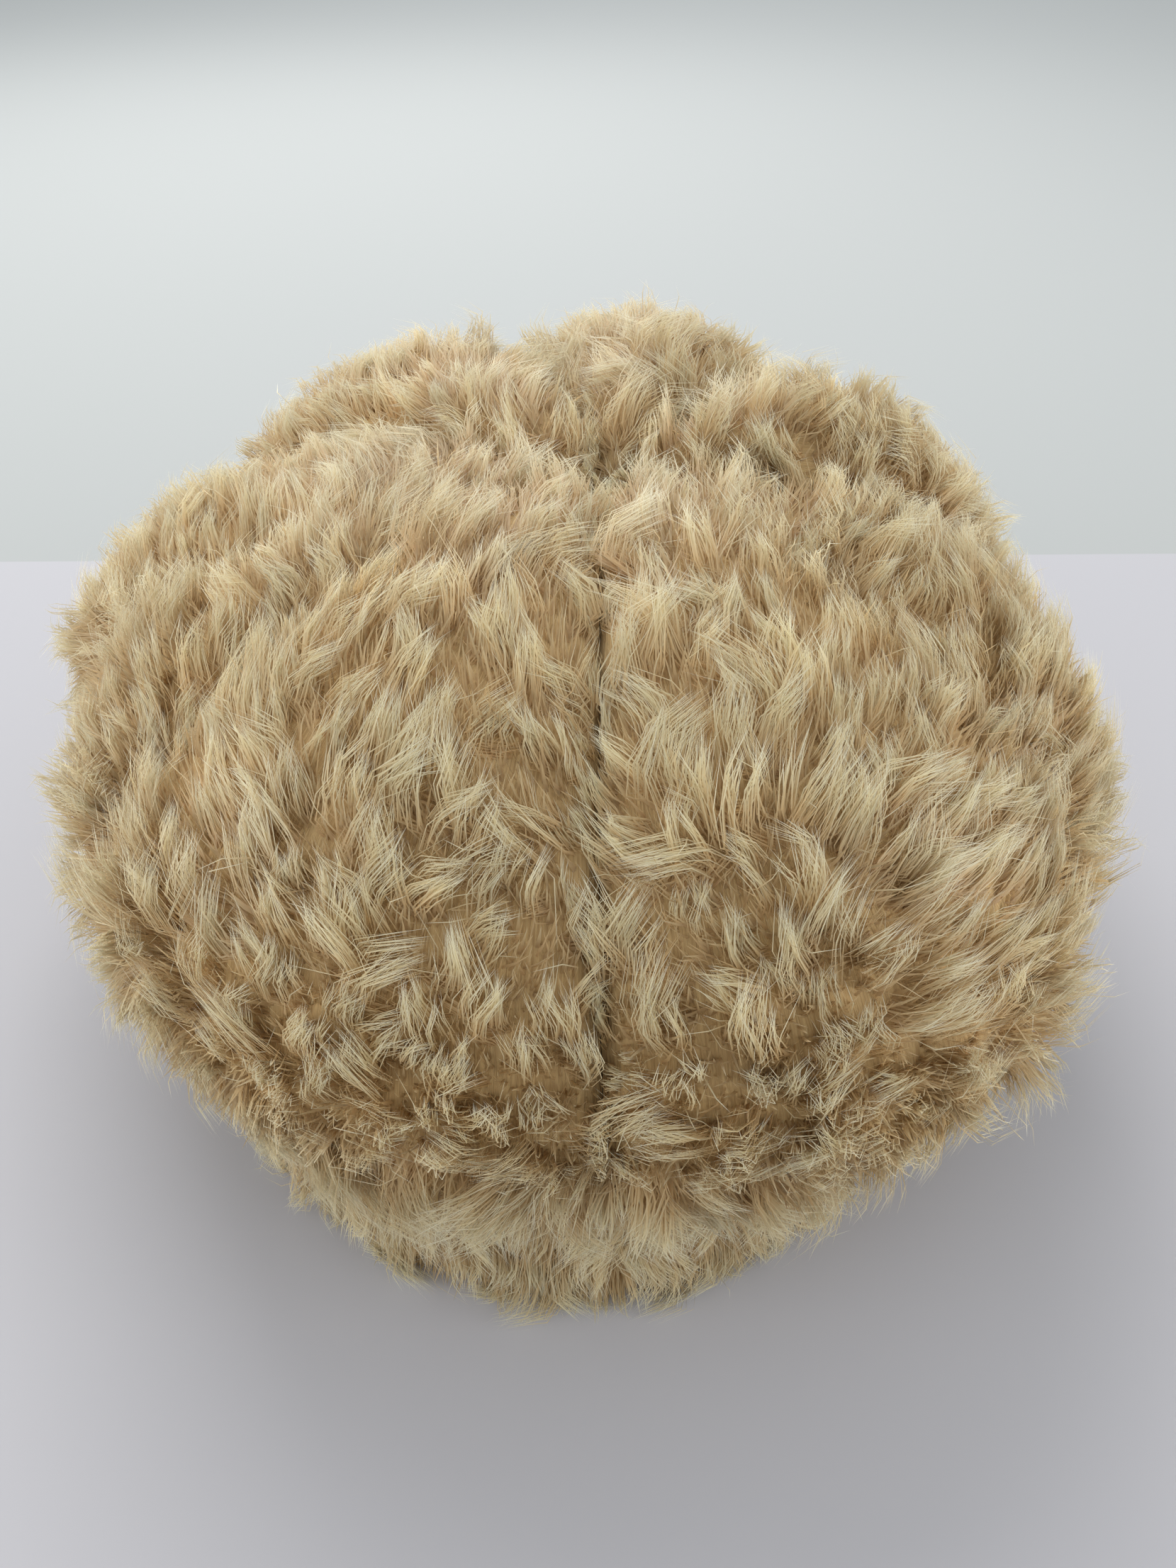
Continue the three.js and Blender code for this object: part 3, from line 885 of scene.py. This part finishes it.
def cloth_piece(name, cloth, index, cut, closed, materials):
    """One panel's cloth with its pile roots: a grid laid on the panel and given its
    thickness, with the pile side out and the knitted side in."""
    bpy.ops.mesh.primitive_grid_add(x_subdivisions=cut.columns, y_subdivisions=cut.rows, size=1)
    piece = bpy.context.object
    piece.name = name
    piece.data.name = name
    mesh = piece.data
    flat = np.empty(len(mesh.vertices) * 3)
    mesh.vertices.foreach_get("co", flat)
    flat = flat.reshape(-1, 3)
    across = np.clip(flat[:, 0] + 0.5, 0, 1)
    going = cut.low + (cut.high - cut.low) * np.clip(0.5 - flat[:, 1], 0, 1)
    inner = 0.0 if closed else CLOTH_INSET
    across = inner + across * (1 - 2 * inner)
    places = cloth(index, across, going)
    if not closed:
        edge = going > CROWN_END - TINY
        azimuth = panel_azimuth(index, across, going)
        rim = placed(azimuth, hem_radius(azimuth), np.full(len(going), HEM_HEIGHT + GAP))
        rim += np.array([HAT_SHIFT[0], HAT_SHIFT[1], 0])
        places[edge] = rim[edge]
    mesh.vertices.foreach_set("co", (places * MM).ravel())
    mesh.update()
    bpy.ops.object.mode_set(mode="EDIT")
    bpy.ops.mesh.select_all(action="SELECT")
    bpy.ops.mesh.remove_doubles(threshold=MERGE_WITHIN)
    bpy.ops.mesh.normals_make_consistent(inside=False)
    bpy.ops.object.mode_set(mode="OBJECT")
    middle = mesh.polygons[len(mesh.polygons) // 2]
    if (middle.center - INSIDE_POINT).dot(middle.normal) < 0:
        mesh.flip_normals()
    for material in materials:
        piece.data.materials.append(material)
    wall = piece.modifiers.new("wall", "SOLIDIFY")
    wall.thickness = CLOTH * MM
    wall.offset = -1
    wall.use_even_offset = False
    wall.material_offset = 1
    bpy.ops.object.modifier_apply(modifier="wall")
    bpy.ops.object.shade_smooth()
    piece.select_set(False)
    return piece


def dress(name, node, cloth, index, style, seed, cut):
    """One sewn piece of the hat: its long pile, its short pile and its cloth, which
    stand for the given node."""
    rng = np.random.default_rng(seed)
    fur = grow(f"pile_{name}", cloth, index, rng, style, pile)
    fuzz = grow_fuzz(f"fuzz_{name}", cloth, index, rng, style, pile)
    sewn = cloth_piece(f"cloth_{name}", cloth, index, cut, style["closed"], (roots, backing))
    for piece in (fur, fuzz, sewn):
        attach(piece, "root")
    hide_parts(node)


# The hat
grain_group = fibre_grain_group()
pile = pile_material()
roots = undercoat_material()
backing = backing_material()
for index, panel in enumerate(PANELS):
    node = f"crown_panel_{panel.name}"
    dress(panel.name, node, crown_cloth, index, CROWN_STYLE, PANEL_SEED + index, PANEL_CUT)
dress("hem_band", "hem_band", hem_cloth, 0, HEM_STYLE, HEM_SEED, HEM_CUT)

# A pale table, and a paler floor beyond its edge, level with each other
FLOOR_SIZE = 6
TABLE_EDGE = 0.17
Floor = namedtuple("Floor", "name side colour roughness")
FLOORS = [
    Floor("table", -1, (0.40, 0.394, 0.418), 0.7),
    Floor("beyond", 1, (0.355, 0.366, 0.366), 1.0),
]
for floor in FLOORS:
    middle_y = TABLE_EDGE + floor.side * FLOOR_SIZE / 2
    bpy.ops.mesh.primitive_plane_add(size=FLOOR_SIZE, location=(0, middle_y, 0))
    ground = bpy.context.object
    ground.name = floor.name
    colour = (*floor.colour, 1)
    matt, _ = new_material(
        f"pale_{floor.name}",
        Base_Color=colour,
        Roughness=floor.roughness,
        Specular_IOR_Level=0.1,
    )
    ground.data.materials.append(matt)

# The camera, at the photograph's place: behind the hat, close and looking down
CAMERA_PLACE = (0.00106, -0.22303, 0.21759)
CAMERA_DIPS = 39.84
CAMERA_TURNS = -0.81
SENSOR = 36.0
LENS = 27.05
NEAREST = 0.01
bpy.ops.object.camera_add(
    location=CAMERA_PLACE,
    rotation=(math.radians(90 - CAMERA_DIPS), 0, math.radians(CAMERA_TURNS)),
)
camera = bpy.context.object
camera.data.sensor_fit = "AUTO"
camera.data.sensor_width = SENSOR
camera.data.lens = LENS
camera.data.clip_start = NEAREST
bpy.context.scene.camera = camera

# Soft lamps: a large one before the hat and above it, one on each side behind,
# and one over the floor beyond. Sizes are in metres and power in watts.
HAT_MIDDLE = (0, 0, 0.07)
FAR_FLOOR = (0, 2.4, 0)
NEAR_WHITE = (1.0, 0.99, 0.965)
WARM_WHITE = (1.0, 0.985, 0.96)
WHITE = (1.0, 1.0, 1.0)
Lamp = namedtuple("Lamp", "name place faces width height power colour")
LAMPS = [
    Lamp("over_light", (-0.27, 0.9, 1.1), HAT_MIDDLE, 1.0, 1.0, 17, NEAR_WHITE),
    Lamp("left_fill", (-1.05, -0.45, 0.32), HAT_MIDDLE, 0.8, 0.4, 7, WARM_WHITE),
    Lamp("right_fill", (1.05, -0.45, 0.32), HAT_MIDDLE, 0.8, 0.4, 7, WARM_WHITE),
    Lamp("far_light", (0, 2.5, 1.5), FAR_FLOOR, 1.6, 1.6, 17, WHITE),
]
for lamp in LAMPS:
    bpy.ops.object.light_add(type="AREA", location=lamp.place)
    light = bpy.context.object
    light.name = lamp.name
    light.data.shape = "RECTANGLE"
    light.data.size = lamp.width
    light.data.size_y = lamp.height
    light.data.energy = lamp.power
    light.data.color = lamp.colour
    light.visible_camera = False
    way = Vector(lamp.faces) - Vector(lamp.place)
    light.rotation_euler = way.to_track_quat("-Z", "Y").to_euler()

# Pale light from all round
ROOM_COLOUR = (0.86, 0.9, 0.92, 1)
ROOM_STRENGTH = 0.96
world = bpy.data.worlds.new("pale_room")
world.use_nodes = True
background = world.node_tree.nodes["Background"]
background.inputs["Color"].default_value = ROOM_COLOUR
background.inputs["Strength"].default_value = ROOM_STRENGTH
bpy.context.scene.world = world
bpy.context.scene.view_settings.view_transform = "Standard"
